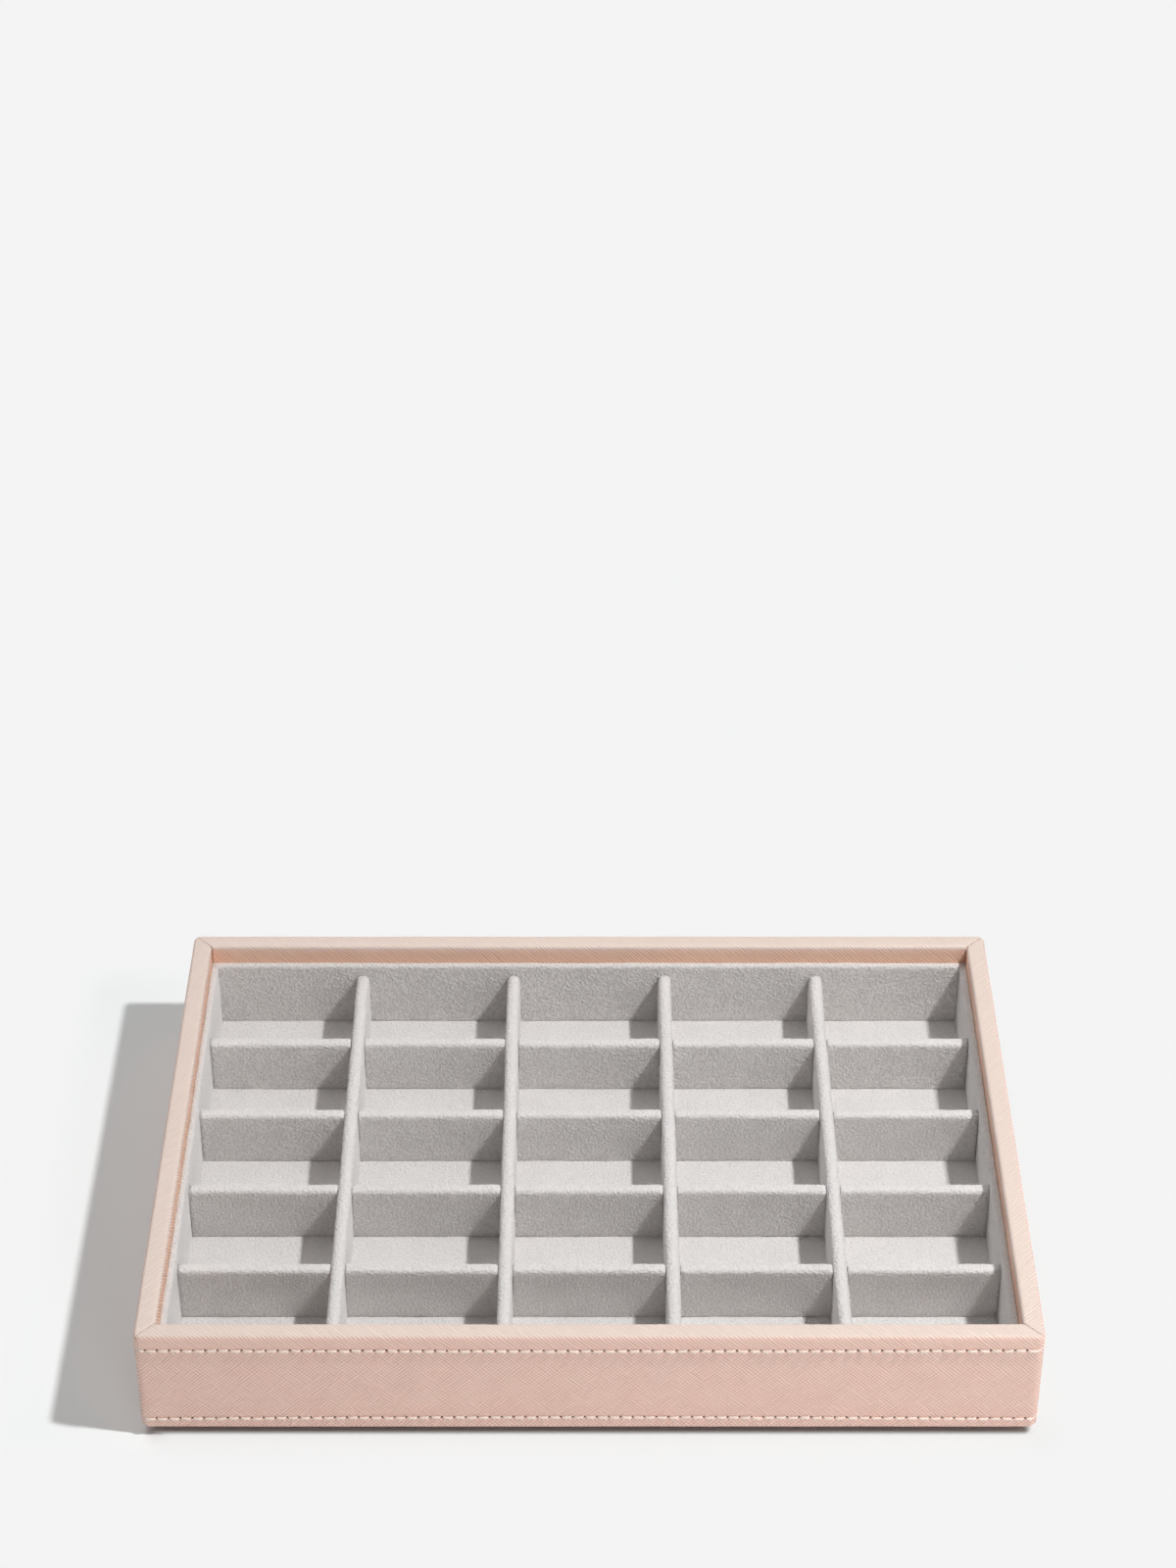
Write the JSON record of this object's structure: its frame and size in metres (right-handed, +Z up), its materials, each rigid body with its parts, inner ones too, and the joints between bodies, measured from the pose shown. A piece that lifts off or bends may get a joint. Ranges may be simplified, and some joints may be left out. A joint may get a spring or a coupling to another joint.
{
  "type": "jewelry tray",
  "caption": "Stackable open jewelry tray: stitched blush-pink leather walls, inset plinth, and a velvet-lined interior divided into equal rectangular compartments.",
  "frame": {"origin": "centre of the underside, on the surface that the tray stands on", "axes": "+X to the right along the long side, +Y from front to back, +Z up"},
  "size_m": [0.2508, 0.1808, 0.0375],
  "materials": {
    "pink_leather": "blush-pink faux leather with a fine cross-hatched grain, satin",
    "cream_thread": "cream polyester sewing thread",
    "grey_velvet": "pale warm-grey short-pile velvet",
    "wall_board": "raw fibreboard, hidden",
    "base_board": "raw fibreboard, hidden",
    "plinth_board": "raw fibreboard, seen only at its edge under the tray",
    "base_felt": "grey-brown pressed felt",
    "floor_card": "grey paper board, hidden",
    "lining_card": "grey paper board, hidden",
    "divider_card": "grey paper board, hidden"
  },
  "bodies": {
    "root": {"front_wall_board": "wall_board", "front_leather": "pink_leather", "front_upper_stitching": "cream_thread", "front_lower_stitching": "cream_thread", "front_lining_card": "lining_card", "front_lining_velvet": "grey_velvet", "right_wall_board": "wall_board", "right_leather": "pink_leather", "right_upper_stitching": "cream_thread", "right_lower_stitching": "cream_thread", "right_lining_card": "lining_card", "right_lining_velvet": "grey_velvet", "back_wall_board": "wall_board", "back_leather": "pink_leather", "back_upper_stitching": "cream_thread", "back_lower_stitching": "cream_thread", "back_lining_card": "lining_card", "back_lining_velvet": "grey_velvet", "left_wall_board": "wall_board", "left_leather": "pink_leather", "left_upper_stitching": "cream_thread", "left_lower_stitching": "cream_thread", "left_lining_card": "lining_card", "left_lining_velvet": "grey_velvet", "base_board": "base_board", "plinth_board": "plinth_board", "base_felt": "base_felt", "floor_card": "floor_card", "floor_velvet": "grey_velvet", "long_divider_1_card": "divider_card", "long_divider_1_velvet": "grey_velvet", "long_divider_2_card": "divider_card", "long_divider_2_velvet": "grey_velvet", "long_divider_3_card": "divider_card", "long_divider_3_velvet": "grey_velvet", "long_divider_4_card": "divider_card", "long_divider_4_velvet": "grey_velvet", "cross_divider_1_card": "divider_card", "cross_divider_1_velvet": "grey_velvet", "cross_divider_2_card": "divider_card", "cross_divider_2_velvet": "grey_velvet", "cross_divider_3_card": "divider_card", "cross_divider_3_velvet": "grey_velvet", "cross_divider_4_card": "divider_card", "cross_divider_4_velvet": "grey_velvet"}
  },
  "joints": []
}
